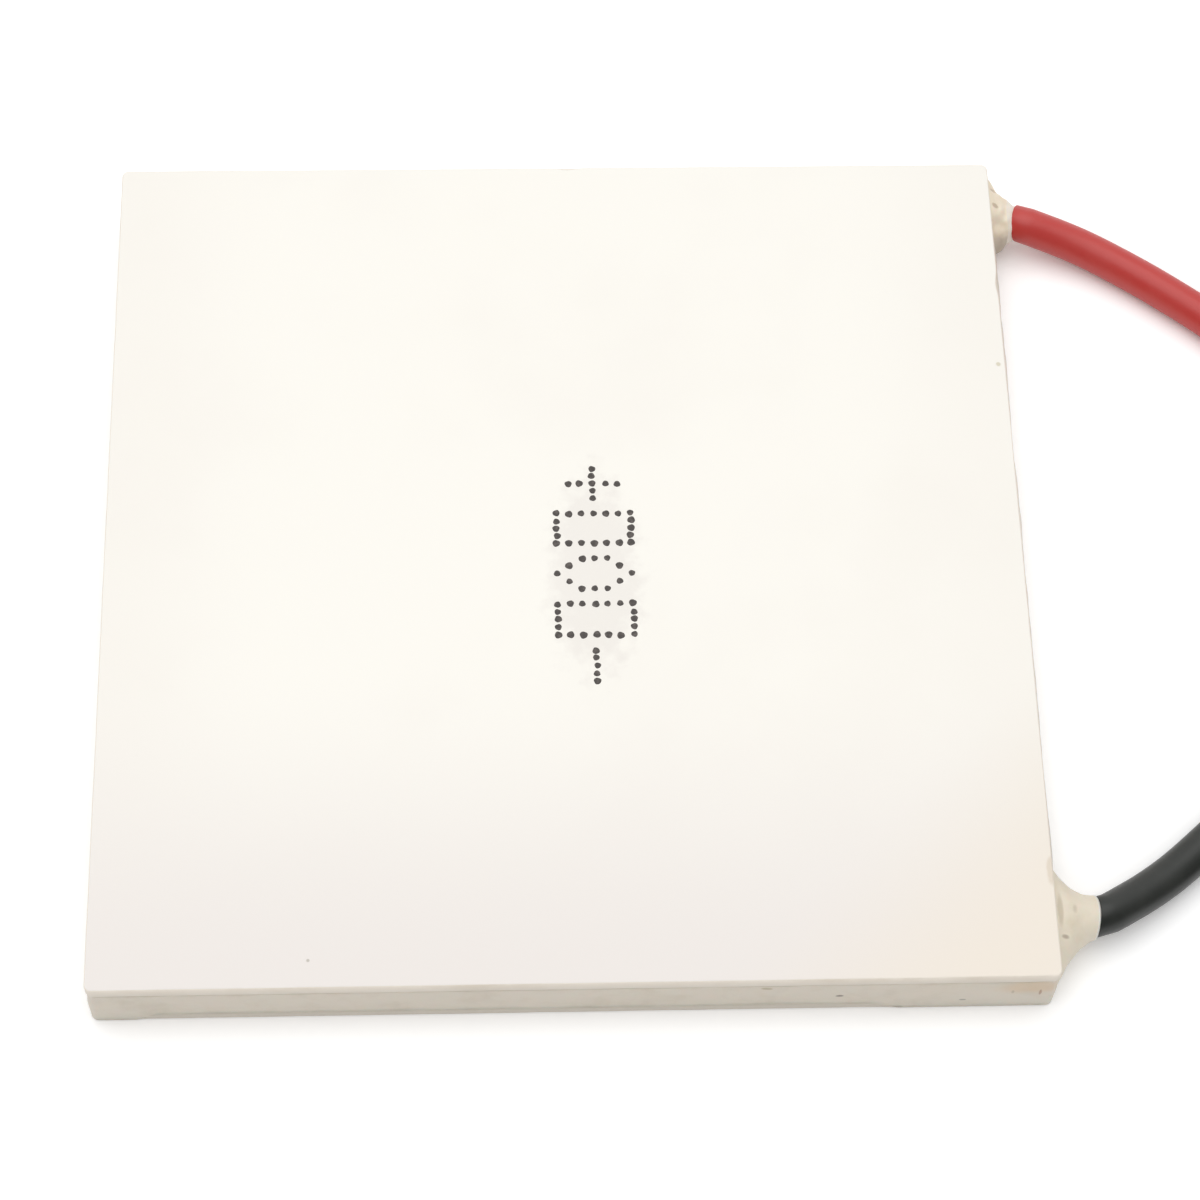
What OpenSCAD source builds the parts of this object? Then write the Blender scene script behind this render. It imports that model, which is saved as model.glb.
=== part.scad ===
// Thermoelectric cooling module: two square ceramic plates with 127 couples of semiconductor
// pellets soldered between them, a sealed edge, and two leads that end in neat coils.
// The origin is the centre of the underside. +Z runs up through the stack, and the leads
// leave on the +X side, the red one at +Y and the black one at -Y.

/* [Plates] */
// Side of the square ceramic plates
plate_side = 40; // [39.6:0.1:41]
// Thickness of the hot plate, at the bottom of the stack
hot_plate_t = 0.7; // [0.5:0.05:1.2]
// Thickness of the cold plate, at the top of the stack
cold_plate_t = 0.7; // [0.5:0.05:1.2]
// Radius of the plates' upright corners
plate_corner_r = 0.3; // [0.2:0.05:1]

/* [Couples] */
// Side of a semiconductor pellet
pellet_w = 1.4; // [1:0.05:1.6]
// Height of a semiconductor pellet
pellet_h = 1.3; // [1.2:0.05:2]
// Width of a copper bridge
bridge_w = 1.5; // [1.3:0.05:1.7]
// Thickness of a copper bridge
bridge_t = 0.3; // [0.2:0.05:0.5]
// How far a bridge reaches past the pellets that it joins
bridge_over = 0.05; // [0:0.01:0.1]
// Thickness of the solder between a pellet and a bridge
solder_t = 0.05; // [0.03:0.01:0.1]

/* [Edge seal] */
// How far the seal lies inside the plates' edges
seal_inset = 0.2; // [0.1:0.05:0.3]
// Width of the seal, from its outer face to its inner one
seal_w = 1.225; // [1:0.025:1.5]
// Clearance between the seal and the nearest bridges
seal_clear = 0.2; // [0.1:0.05:0.4]

/* [Leads] */
// Diameter over the lead's insulation
lead_d = 1.7; // [1.5:0.05:1.8]
// Diameter of the lead's bundle of copper strands
core_d = 1; // [0.8:0.05:1.1]
// Height of the bare strands over their copper pad
core_lift = 0.1; // [0.05:0.01:0.15]
// Length of the bare strands that lie on the pad past the middle of the solder joint
core_back = 0.8; // [0.8:0.05:1]
// Length of the tinned tip
tip_l = 5; // [4:0.5:8]
// Radius of the solder joint where it wets the pad
joint_foot_r = 0.72; // [0.66:0.01:0.75]
// Radius of the solder joint's top
joint_top_r = 0.62; // [0.6:0.01:0.65]
// Height of the solder joint, which covers the strands
joint_h = 1.3; // [1.2:0.05:1.4]

/* [Lead seals] */
// Thickness of the sealant's film around the insulation
seal_film = 0.1; // [0.05:0.01:0.2]
// Radius of the sealant where it meets the plates' edges
seal_foot_r = 2.3; // [1.8:0.05:2.6]
// How far the sealant stays inside the outer faces of the plates
seal_skirt = 0.15; // [0.1:0.05:0.4]

/* [Coils and ties] */
// Radius of the middle of a coil's widest turn
coil_r = 12.05; // [11.9:0.05:12.2]
// Clearance between turns that lie side by side
turn_gap = 0.05; // [0.03:0.01:0.1]
// Radius along the edges of a coil's outer shape
coil_edge_r = 0.5; // [0.3:0.05:0.8]
// Thickness of the tie's strip
tie_t = 0.3; // [0.2:0.05:0.3]
// Width of the tie's strip
tie_w = 2.4; // [1.6:0.1:4]
// Radius of the tie's bends
tie_r = 0.7; // [0.5:0.05:0.9]
// Diameter of the tie's twisted ends
twist_d = 1; // [0.8:0.1:1.4]
// Length of the tie's twisted ends
twist_l = 4.5; // [3:0.5:5]

/* [Hidden] */
$fn = 48;

// The grid has 16 rows of 16 cells. The two cells at the corners of the lead side hold the
// leads' pads in place of pellets. Rows are taken in pairs, out and back, one node to a pair.
GRID = 16;
PAIRS = [1 : GRID / 2];
ROWS_2 = [0, 1];
LAST = GRID - 1;

// Heights through the stack, from the underside up.
hot_bridge_z = hot_plate_t;
hot_solder_z = hot_bridge_z + bridge_t;
pellet_z = hot_solder_z + solder_t;
cold_solder_z = pellet_z + pellet_h;
cold_bridge_z = cold_solder_z + solder_t;
cold_plate_z = cold_bridge_z + bridge_t;
stack_h = cold_plate_z + cold_plate_t;
gap_h = cold_plate_z - hot_plate_t;

// The side that the leads leave from, the seal's two faces, and the field that it encloses,
// over which the pellets are spread evenly.
lead_side = plate_side / 2;
seal_out = lead_side - seal_inset;
seal_in = seal_out - seal_w;
field = seal_in - seal_clear;
pellet_pitch = (2 * (field - bridge_over) - pellet_w) / LAST;

// Each route runs from the lead's exit to its coil, then from the coil to the tinned tip:
// [distance out from the lead side, distance in from the lead's corner, height as a share
// of the first point's height over a lead that lies on the surface].
RED_OUT = [[1.35, 2.15, 1], [2.55, 2.43, 0.68], [4.4, 3.08, 0.24], [6.2, 4.1, 0.04],
    [8, 5.37, 0], [10.2, 7.15, 0], [13.1, 9.85, 0], [15.5, 12.3, 0]];
BLACK_OUT = [[2, 3.2, 1], [3.4, 3.98, 0.6], [4.65, 4.81, 0.27], [5.95, 5.81, 0.08],
    [8.1, 7.7, 0], [10.6, 9.9, 0], [13.6, 12.2, 0], [17.2, 14.55, 0]];
TAIL_OUT = [[34.25, 12.6, 1], [35.85, 10.65, 1], [37.35, 8.65, 1], [38.75, 6.55, 1],
    [40.05, 4.4, 0.95]];

// Middles of the coils, given like the routes' points, the direction in which each lead
// leaves its seal and where each coil's spiral starts, in degrees. The spiral runs inwards
// on the lower layer, then outwards on the upper one.
COIL_OUT = [25.5, 5.25];
RED_HEADING = -12;
BLACK_HEADING = 10;
RED_START = 233;
BLACK_START = 245;
LOWER_TURNS = 2.3;
TIE_TURN = 0.55;

turn_pitch = lead_d + turn_gap;
layer_z = [lead_d / 2, lead_d / 2 + turn_pitch];
coil_h = layer_z[1] + lead_d / 2;
coil_in = coil_r - LOWER_TURNS * turn_pitch - lead_d / 2;
coil_out = coil_r + lead_d / 2;
exit_z = hot_plate_t + gap_h / 2;

// A point of a route in the part's frame, lifted by its share of the given height.
function outside(p, side) = [lead_side + p[0], side * (lead_side - p[1])];
function placed(p, top, side) = concat(outside(p, side), layer_z[0] + p[2] * (top - layer_z[0]));
function route(points, top, side) = [for (p = points) placed(p, top, side)];
red_route = route(RED_OUT, exit_z, 1);
black_route = route(BLACK_OUT, exit_z, -1);
function tail_route(side) = route(TAIL_OUT, layer_z[1], side);

// Radius of the spiral after a number of turns.
function spiral_r(turns) = coil_r - turn_pitch * (turns < LOWER_TURNS ? turns : 2 * LOWER_TURNS - turns);

// Middle of the cell in column i of row j, and of the pad that a lead is soldered to.
function cell(i, j) = [(i - LAST / 2) * pellet_pitch, (j - LAST / 2) * pellet_pitch];
function pad_spot(row) = concat(cell(LAST, row), [hot_solder_z + core_lift + core_d / 2]);

// A unit vector, and the rings and faces of a tube with flat ends that follows a route.
function unit(v) = v / norm(v);
function along(path, k, first) =
    k == 0 ? first : unit(path[min(k + 1, len(path) - 1)] - path[k - 1]);
function ring(middle, way, d, sides) =
    let (across = unit(cross([0, 0, 1], way)), over = cross(way, across))
    [for (s = [0 : sides - 1])
        let (a = 360 * s / sides) middle + d / 2 * (cos(a) * across + sin(a) * over)];

module tube(path, d, first, sides = 8) {
    last = len(path) - 1;
    points = [for (k = [0 : last]) each ring(path[k], along(path, k, first), d, sides)];
    walls = [for (k = [0 : last - 1]) for (s = [0 : sides - 1])
        let (t = (s + 1) % sides)
        [k * sides + s, (k + 1) * sides + s, (k + 1) * sides + t, k * sides + t]];
    ends = [[for (s = [0 : sides - 1]) s], [for (s = [sides - 1 : -1 : 0]) last * sides + s]];
    polyhedron(points, concat(walls, ends), convexity = 6);
}

// A round rod from one point to another.
module rod(from, to, d) {
    way = to - from;
    translate(from)
        rotate([0, acos(way[2] / norm(way)), atan2(way[1], way[0])])
            cylinder(d = d, h = norm(way));
}

module rounded_outline(size, r) {
    square([size[0] - 2 * r, size[1]], center = true);
    square([size[0], size[1] - 2 * r], center = true);
    for (x = [-1, 1])
        for (y = [-1, 1])
            translate([x * (size[0] / 2 - r), y * (size[1] / 2 - r)])
                circle(r = r);
}

module plate(z, t) {
    translate([0, 0, z])
        linear_extrude(t)
            rounded_outline([plate_side, plate_side], plate_corner_r);
}

module hot_plate() {
    color("ivory") plate(0, hot_plate_t);
}

module cold_plate() {
    color("ivory") plate(cold_plate_z, cold_plate_t);
}

// The bead between the plates, which goes all the way round. The leads' strands pass through it.
module edge_seal() {
    color("antiquewhite")
        difference() {
            translate([0, 0, hot_plate_t])
                linear_extrude(gap_h)
                    difference() {
                        rounded_outline([2 * seal_out, 2 * seal_out], plate_corner_r);
                        square(2 * seal_in, center = true);
                    }
            core(red_route, LAST);
            core(black_route, 0);
        }
}

// Is the cell one that holds a pellet?
function filled(i, j) = i < LAST || (j > 0 && j < LAST);

module block(spot, z, size) {
    translate([spot[0], spot[1], z + size[2] / 2])
        cube(size, center = true);
}

// Every other pellet in a pair of rows: p-type where shift is 0, and n-type where it is 1.
module pellets(pair, shift) {
    for (row = ROWS_2)
        for (i = [0 : LAST])
            let (j = 2 * (pair - 1) + row)
                if ((i + j) % 2 == shift && filled(i, j))
                    block(cell(i, j), pellet_z, [pellet_w, pellet_w, pellet_h]);
}

module p_pellets(pair) {
    color("dimgray") pellets(pair, 0);
}

module n_pellets(pair) {
    color("slategray") pellets(pair, 1);
}

// A copper bridge over two neighbouring cells.
module bridge(a, b, z) {
    long = pellet_pitch + pellet_w + 2 * bridge_over;
    size = a[1] == b[1] ? [long, bridge_w, bridge_t] : [bridge_w, long, bridge_t];
    block((a + b) / 2, z, size);
}

// Bridges on the hot plate join cells 0 and 1, 2 and 3 and so on along each row.
module hot_bridges(pair) {
    color("peru")
        for (row = ROWS_2)
            for (i = [0 : 2 : LAST - 1])
                let (j = 2 * (pair - 1) + row)
                    if (filled(i + 1, j))
                        bridge(cell(i, j), cell(i + 1, j), hot_bridge_z);
}

// Bridges on the cold plate join cells 1 and 2, 3 and 4 and so on, and turn the current
// into the next row at the ends.
module cold_bridges(pair) {
    first = 2 * (pair - 1);
    color("peru") {
        for (row = ROWS_2)
            for (i = [1 : 2 : LAST - 2])
                bridge(cell(i, first + row), cell(i + 1, first + row), cold_bridge_z);
        bridge(cell(0, first), cell(0, first + 1), cold_bridge_z);
        if (pair < GRID / 2)
            bridge(cell(LAST, first + 1), cell(LAST, first + 2), cold_bridge_z);
    }
}

module solder_layer(z) {
    color("silver")
        for (j = [0 : LAST])
            for (i = [0 : LAST])
                if (filled(i, j))
                    block(cell(i, j), z, [pellet_w, pellet_w, solder_t]);
}

module terminal_pad(row) {
    color("peru") bridge(cell(LAST - 1, row), cell(LAST, row), hot_bridge_z);
}

// The bare strands run from the pad to just short of the insulation, inside the sealant.
module core(path, row) {
    start = pad_spot(row) - [core_back, 0, 0];
    run = path[0] - start;
    rod(start, start + run * (1 - core_d / 3 / norm(run)), core_d);
}

module core_end(path, row) {
    color("goldenrod") core(path, row);
}

module solder_joint(path, row) {
    color("silver")
        difference() {
            translate([for (k = [0 : 2]) k < 2 ? pad_spot(row)[k] : hot_solder_z])
                cylinder(r1 = joint_foot_r, r2 = joint_top_r, h = joint_h);
            core(path, row);
        }
}

// Sealant drawn out along the insulation: a funnel against the plates' edges, which fills
// the recess in front of the bead too.
module lead_seal(path, row, heading) {
    tip_r = lead_d / 2 + seal_film;
    reach = (path[0][0] - lead_side) / cos(heading);
    steps = 6;
    color("antiquewhite")
        difference() {
            intersection() {
                translate(path[0])
                    rotate([0, 90, heading])
                        rotate_extrude()
                            polygon(concat(
                                [[0, 0]],
                                [for (k = [0 : steps])
                                    [tip_r + (seal_foot_r - tip_r) * pow(k / steps, 2),
                                        -reach * k / steps]],
                                [[seal_foot_r, -2 * reach - seal_inset],
                                    [0, -2 * reach - seal_inset]]));
                union() {
                    translate([lead_side, path[0][1] - 2 * seal_foot_r, seal_skirt])
                        cube([2 * reach, 4 * seal_foot_r, stack_h - 2 * seal_skirt]);
                    translate([seal_out, path[0][1] - 2 * seal_foot_r, hot_plate_t])
                        cube([seal_inset, 4 * seal_foot_r, gap_h]);
                }
            }
            core(path, row);
        }
}

// The straight part of a lead, up to the side of its coil.
module lead(path, heading, side) {
    difference() {
        tube(path, lead_d, [cos(heading), sin(heading), 0]);
        coil_space(side);
    }
}

module coil_space(side) {
    translate(outside(COIL_OUT, side))
        cylinder(r = coil_out, h = 3 * coil_h, center = true);
}

// The space that the coil's turns take, with the tie let into it.
module lead_coil(side, start) {
    difference() {
        translate(outside(COIL_OUT, side))
            rotate_extrude()
                translate([(coil_in + coil_out) / 2, coil_h / 2])
                    rounded_outline([coil_out - coil_in, coil_h], coil_edge_r);
        tie(side, start);
    }
}

module lead_tail(side) {
    path = tail_route(side);
    difference() {
        tube(path, lead_d, unit(path[1] - path[0]));
        coil_space(side);
    }
}

module lead_tip(side) {
    path = tail_route(side);
    end = path[len(path) - 1];
    way = unit(end - path[len(path) - 2]);
    color("silver") rod(end, end + tip_l * way, core_d);
}

// A coated strip wrapped once around the turns, with its ends twisted together inside the coil.
module tie(side, start) {
    inner = coil_in + tie_t / 2;
    outer = spiral_r(TIE_TURN) + lead_d / 2 + turn_gap;
    size = [outer - inner + 2 * tie_t, coil_h + tie_t];
    translate(outside(COIL_OUT, side))
        rotate(side * (start + 360 * TIE_TURN)) {
            translate([(inner + outer) / 2, tie_w / 2, size[1] / 2])
                rotate([90, 0, 0])
                    linear_extrude(tie_w)
                        difference() {
                            rounded_outline(size, tie_r);
                            rounded_outline([outer - inner, coil_h - tie_t], tie_r - tie_t);
                        }
            translate([inner - tie_t - twist_l, 0, size[1] / 2])
                rotate([0, 90, 0])
                    cylinder(d = twist_d, h = twist_l + tie_t / 2);
        }
}

module lead_tie(side, start) {
    color("whitesmoke") tie(side, start);
}

hot_plate();
cold_plate();
edge_seal();
solder_layer(hot_solder_z);  // hot_solder
solder_layer(cold_solder_z);  // cold_solder
color("firebrick") lead(red_route, RED_HEADING, 1);  // red_lead
color("firebrick") lead_coil(1, RED_START);  // red_lead_coil
color("firebrick") lead_tail(1);  // red_lead_tail
lead_tip(1);  // red_lead_tip
lead_tie(1, RED_START);  // red_lead_tie
lead_seal(red_route, LAST, RED_HEADING);  // red_lead_seal
core_end(red_route, LAST);  // red_core_end
solder_joint(red_route, LAST);  // red_solder_joint
terminal_pad(LAST);  // red_terminal_pad
color("dimgray") lead(black_route, BLACK_HEADING, -1);  // black_lead
color("dimgray") lead_coil(-1, BLACK_START);  // black_lead_coil
color("dimgray") lead_tail(-1);  // black_lead_tail
lead_tip(-1);  // black_lead_tip
lead_tie(-1, BLACK_START);  // black_lead_tie
lead_seal(black_route, 0, BLACK_HEADING);  // black_lead_seal
core_end(black_route, 0);  // black_core_end
solder_joint(black_route, 0);  // black_solder_joint
terminal_pad(0);  // black_terminal_pad
for (pair = PAIRS) {
    p_pellets(pair);
    n_pellets(pair);
    hot_bridges(pair);
    cold_bridges(pair);
}
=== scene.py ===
"""Looks of a thermoelectric cooling module: ceramic plates, sealed edge, printed marks and leads."""

import logging
import math
import random
from collections.abc import Callable, Sequence
from dataclasses import dataclass, field
from enum import Enum

import bpy
from mathutils import Matrix, Vector, noise


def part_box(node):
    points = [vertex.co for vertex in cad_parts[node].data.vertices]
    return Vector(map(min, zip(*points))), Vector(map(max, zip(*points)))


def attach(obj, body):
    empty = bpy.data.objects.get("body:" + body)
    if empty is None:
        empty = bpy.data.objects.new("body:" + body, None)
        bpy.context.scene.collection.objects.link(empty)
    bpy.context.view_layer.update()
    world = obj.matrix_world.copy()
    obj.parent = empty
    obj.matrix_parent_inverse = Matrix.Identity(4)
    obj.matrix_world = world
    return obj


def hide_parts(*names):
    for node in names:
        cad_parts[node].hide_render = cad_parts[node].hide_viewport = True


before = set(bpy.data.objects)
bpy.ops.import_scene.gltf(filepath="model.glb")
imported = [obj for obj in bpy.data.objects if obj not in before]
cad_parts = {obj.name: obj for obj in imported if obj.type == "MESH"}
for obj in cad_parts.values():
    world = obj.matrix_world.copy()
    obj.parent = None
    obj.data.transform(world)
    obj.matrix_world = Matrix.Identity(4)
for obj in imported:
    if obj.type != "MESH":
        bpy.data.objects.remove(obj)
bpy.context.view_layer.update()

MM = 0.001
UP = Vector((0, 0, 1))
ROOT = "root"
LOG = logging.getLogger("cooling_module")

Material = bpy.types.Material
Node = bpy.types.Node
Object = bpy.types.Object
Point = tuple[float, float, float]
Socket = bpy.types.NodeSocket
Tree = bpy.types.NodeTree


class Lie(Enum):
    """Which way a lead's corner faces, seen from above with the leads on the right."""

    FAR = 1
    NEAR = -1


def linear(hex_colour: str) -> tuple[float, float, float, float]:
    """Turns an sRGB hex colour to linear light.

    Args:
        hex_colour: six hex digits, such as "f5efe4".

    Returns:
        Red, green, blue and an alpha of 1.
    """
    parts = [int(hex_colour[k : k + 2], 16) / 255 for k in (0, 2, 4)]
    light = [c / 12.92 if c <= 0.04045 else ((c + 0.055) / 1.055) ** 2.4 for c in parts]
    return (*light, 1.0)


def add_node(
    tree: Tree,
    kind: str,
    settings: dict[str | int, object] | None = None,
    links: dict[str | int, Socket] | None = None,
) -> Node:
    """Adds a node to a tree.

    Args:
        tree: the node tree.
        kind: the shader node's type name, without its prefix.
        settings: attributes by name, and inputs' values by name or place.
        links: sockets that feed the node, by the input's name or place.

    Returns:
        The new node.
    """
    made = tree.nodes.new(f"ShaderNode{kind}")
    for key, value in (settings or {}).items():
        if isinstance(key, str) and hasattr(made, key):
            setattr(made, key, value)
        else:
            made.inputs[key].default_value = value
    for key, socket in (links or {}).items():
        tree.links.new(socket, made.inputs[key])
    return made


@dataclass
class Surface:
    """A material under way: its nodes, its shader, and coordinates in the object's own metres."""

    material: Material
    tree: Tree
    shader: Node
    place: Socket

    @classmethod
    def start(cls, name: str, roughness: float, metallic: float = 0.0, **constants: float) -> "Surface":
        """Starts a material on the principled shader.

        Args:
            name: the material's name.
            roughness: the shader's roughness.
            metallic: the shader's metallic value.
            constants: other shader inputs, by name with underscores for spaces.

        Returns:
            The surface.
        """
        material = bpy.data.materials.new(name)
        material.use_nodes = True
        tree = material.node_tree
        shader = tree.nodes["Principled BSDF"]
        for key, value in {"Roughness": roughness, "Metallic": metallic, **constants}.items():
            shader.inputs[key.replace("_", " ")].default_value = value
        return cls(material, tree, shader, add_node(tree, "TexCoord").outputs["Object"])

    def lay(self, colour: str, under: Node | str, by: Socket, cover: Point, smooth: bool = True) -> Node:
        """Lays a colour over what is under it, as far as a value says.

        Args:
            colour: the hex colour that is laid on.
            under: the node that mixes the colour so far, or a plain hex colour.
            by: the value.
            cover: the value at which the colour starts and is full, and its share there.
            smooth: whether the cover eases in and out.

        Returns:
            The node that mixes the two.
        """
        start, full, share = cover
        kind = "SMOOTHSTEP" if smooth else "LINEAR"
        laid = add_node(
            self.tree, "MapRange", {"interpolation_type": kind, 1: start, 2: full, 3: 0.0, 4: share},
            {"Value": by},
        )
        mixed = add_node(self.tree, "Mix", {"data_type": "RGBA", 7: linear(colour)}, {0: laid.outputs[0]})
        if isinstance(under, str):
            mixed.inputs[6].default_value = linear(under)
        else:
            self.tree.links.new(under.outputs[2], mixed.inputs[6])
        return mixed

    def mottle(
        self,
        size: float,
        colours: tuple[str, str],
        covered: Point,
        detail: float = 4.0,
        frayed: float = 0.5,
    ) -> tuple[Socket, Node]:
        """Mixes two colours in soft patches.

        Args:
            size: about the width of a patch.
            colours: the hex colours between the patches and on them.
            covered: the noise at which a patch starts and is full, and its colour's share there.
            detail: how many finer layers the noise has.
            frayed: how strong each finer layer is.

        Returns:
            The noise, and the node that mixes the colours.
        """
        patches = add_node(
            self.tree, "TexNoise", {"Scale": 1 / size, "Detail": detail, "Roughness": frayed},
            {"Vector": self.place},
        ).outputs[0]
        between, on_patch = colours
        return patches, self.lay(on_patch, between, patches, covered, smooth=False)

    def dull(self, patches: Socket, kept: float, worn: float) -> None:
        """Lets the roughness follow the patches, from where it is kept to where it is worn."""
        rough_at = add_node(self.tree, "MapRange", {3: kept, 4: worn}, {"Value": patches})
        self.tree.links.new(rough_at.outputs[0], self.shader.inputs["Roughness"])

    def raise_by(self, height: Socket, strength: float, relief: float) -> None:
        """Bumps the surface by a height, at a strength and up to a relief in metres."""
        bump = add_node(self.tree, "Bump", {"Strength": strength, "Distance": relief}, {"Height": height})
        self.tree.links.new(bump.outputs[0], self.shader.inputs["Normal"])

    def roughen(self, size: float, strength: float, relief: float, detail: float) -> None:
        """Bumps the surface by noise of a size, with a number of finer layers."""
        fine = add_node(
            self.tree, "TexNoise", {"Scale": 1 / size, "Detail": detail}, {"Vector": self.place},
        )
        self.raise_by(fine.outputs[0], strength, relief)

    def paint(self, colour: Node) -> Material:
        """Puts the mixed colour on the surface and returns the material."""
        self.tree.links.new(colour.outputs[2], self.shader.inputs["Base Color"])
        return self.material


# A spot is a stain or speck, or a patch of painted light or shade.
@dataclass(frozen=True)
class Spot:
    """A mark at a place in millimetres: its width, height and depth, and how soft its edge is."""

    place: Point
    size: tuple[float, float]
    colour: str
    share: float = 0.8
    depth: float = 0.0
    soft: float = 0.6
    full_to: float = 1.1

    def lay(self, surface: Surface, uneven: Socket, under: Node) -> Node:
        """Lays the spot over the colour so far, as an oval with a ragged edge.

        Args:
            surface: the surface that it lies on.
            uneven: noise that frays the spot's edge.
            under: the node that mixes the colour so far.

        Returns:
            The node that mixes the colour with the spot.
        """
        wide, tall = (side / 2 * MM for side in self.size)
        tree = surface.tree
        near = add_node(
            tree, "Mapping",
            {
                "vector_type": "TEXTURE",
                "Location": tuple(c * MM for c in self.place),
                "Scale": (wide, self.depth / 2 * MM or wide, tall),
            },
            {"Vector": surface.place},
        )
        away = add_node(tree, "VectorMath", {"operation": "LENGTH"}, {0: near.outputs[0]})
        ragged = add_node(tree, "Math", {"operation": "ADD"}, {0: away.outputs["Value"], 1: uneven})
        cover = (self.full_to + self.soft, self.full_to, self.share)
        return surface.lay(self.colour, under, ragged.outputs[0], cover)


@dataclass(frozen=True)
class FiredAlumina:
    """Fired alumina, ground flat: a matt warm white that yellows towards the near lead's corner."""

    name: str = "fired_alumina"
    clean: str = "fefbf3"
    hazy: str = "f7f2ea"
    front_shade: str = "f1ebe6"
    warm_corner: str = "f5ead9"
    half_side: float = 20 * MM
    grain: float = 0.12 * MM
    cloud: float = 9 * MM
    fray: float = 0.6 * MM
    spots: Sequence[Spot] = ()

    def build(self) -> Material:
        """Returns the ceramic, whose grain is drawn coarser than the real one so that it shows."""
        surface = Surface.start(self.name, 0.62, IOR=1.76, Specular_IOR_Level=0.35)
        tree, place, half = surface.tree, surface.place, self.half_side
        clouds = add_node(
            tree, "TexNoise", {"Scale": 1 / self.cloud, "Detail": 3.0, "Roughness": 0.55},
            {"Vector": place},
        ).outputs[0]
        split = add_node(tree, "SeparateXYZ", None, {"Vector": place})
        x, y = split.outputs["X"], split.outputs["Y"]
        aside = add_node(tree, "Math", {"operation": "ABSOLUTE"}, {0: x}).outputs[0]
        along = add_node(tree, "Math", {"operation": "SUBTRACT"}, {0: x, 1: y}).outputs[0]
        # Faint hazy clouds, a greyer tone towards the left and right sides, painted shade that greys the top
        # towards the near side, and a warmer tone towards the near lead's corner.
        washes = (
            (self.hazy, clouds, (0.45, 0.75, 0.3)),
            (self.hazy, aside, (0.6 * half, half, 0.45)),
            (self.front_shade, y, (-0.25 * half, -half, 1.0)),
            (self.warm_corner, along, (1.25 * half, 1.9 * half, 0.7)),
        )
        tint = self.clean
        for colour, value, cover in washes:
            tint = surface.lay(colour, tint, value, cover)
        frayed = add_node(
            tree, "TexNoise", {"Scale": 1 / self.fray, "Detail": 3.0}, {"Vector": place},
        ).outputs[0]
        for spot in self.spots:
            tint = spot.lay(surface, frayed, tint)
        surface.roughen(self.grain, 0.12, 0.02 * MM, 2.0)
        return surface.paint(tint)


@dataclass(frozen=True)
class SnappedAlumina:
    """The plates' sides: laser-scored, then snapped, so a row of fine pits runs along the top."""

    name: str = "snapped_alumina"
    clean: str = "f5ecdf"
    stain: str = "e4d8c7"
    low: str = "dad2c6"
    clean_from: float = 3.3 * MM
    low_from: float = 2.4 * MM
    pit_pitch: float = 0.16 * MM
    grain: float = 0.1 * MM

    def build(self) -> Material:
        """Returns the rougher ceramic of a snapped edge, stained in patches and darker low down."""
        surface = Surface.start(self.name, 0.75, IOR=1.76, Specular_IOR_Level=0.25)
        tree, place = surface.tree, surface.place
        stained = surface.mottle(2.4 * MM, (self.clean, self.stain), (0.45, 0.8, 0.7), frayed=0.6)[1]
        split = add_node(tree, "SeparateXYZ", None, {"Vector": place})
        soiled = (self.clean_from, self.low_from, 1.0)
        colour = surface.lay(self.low, stained, split.outputs["Z"], soiled, smooth=False)
        # Pits are drawn by a voronoi that is stretched upright, as a laser's holes are.
        upright = add_node(tree, "Mapping", {"Scale": (1.0, 1.0, 0.25)}, {"Vector": place})
        pits = add_node(tree, "TexVoronoi", {"Scale": 1 / self.pit_pitch}, {"Vector": upright.outputs[0]})
        grain = add_node(tree, "TexNoise", {"Scale": 1 / self.grain, "Detail": 3.0}, {"Vector": place})
        height = add_node(
            tree, "Math", {"operation": "MULTIPLY_ADD", 1: 0.5},
            {0: pits.outputs["Distance"], 2: grain.outputs[0]},
        )
        surface.raise_by(height.outputs[0], 0.35, 0.03 * MM)
        return surface.paint(colour)


# Besides stains and dust, a sealant's spots can be painted light or shade.
@dataclass(frozen=True)
class SiliconeSealant:
    """Cream silicone, pressed in and wiped: soft, faintly translucent, with stains and dust."""

    name: str = "silicone_sealant"
    clean: str = "f0e8d9"
    stain: str = "dbcfb6"
    lump: float = 0.9 * MM
    relief: float = 0.1 * MM
    spots: Sequence[Spot] = ()

    def build(self) -> Material:
        """Returns the sealant, with its spots laid over faint blotches."""
        surface = Surface.start(self.name, 0.48, IOR=1.41, Subsurface_Weight=0.12, Subsurface_Scale=0.4 * MM)
        blotches, colour = surface.mottle(1.3 * MM, (self.clean, self.stain), (0.48, 0.78, 0.6), frayed=0.6)
        for spot in self.spots:
            colour = spot.lay(surface, blotches, colour)
        surface.roughen(self.lump, 0.5, self.relief, 3.0)
        return surface.paint(colour)


@dataclass(frozen=True)
class Pvc:
    """Extruded PVC insulation: even colour, a soft sheen and fine marks from handling."""

    name: str
    colour: str
    scuffed: str
    roughness: float = 0.36
    gloss: float = 0.5

    def build(self) -> Material:
        """Returns the insulation, with scuffs that dull it in patches."""
        surface = Surface.start(self.name, self.roughness, IOR=1.53, Specular_IOR_Level=self.gloss)
        scuffs, colour = surface.mottle(2.2 * MM, (self.colour, self.scuffed), (0.46, 0.8, 0.6), frayed=0.65)
        surface.dull(scuffs, self.roughness - 0.05, self.roughness + 0.14)
        surface.roughen(0.25 * MM, 0.18, 0.02 * MM, 2.0)
        return surface.paint(colour)


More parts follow.
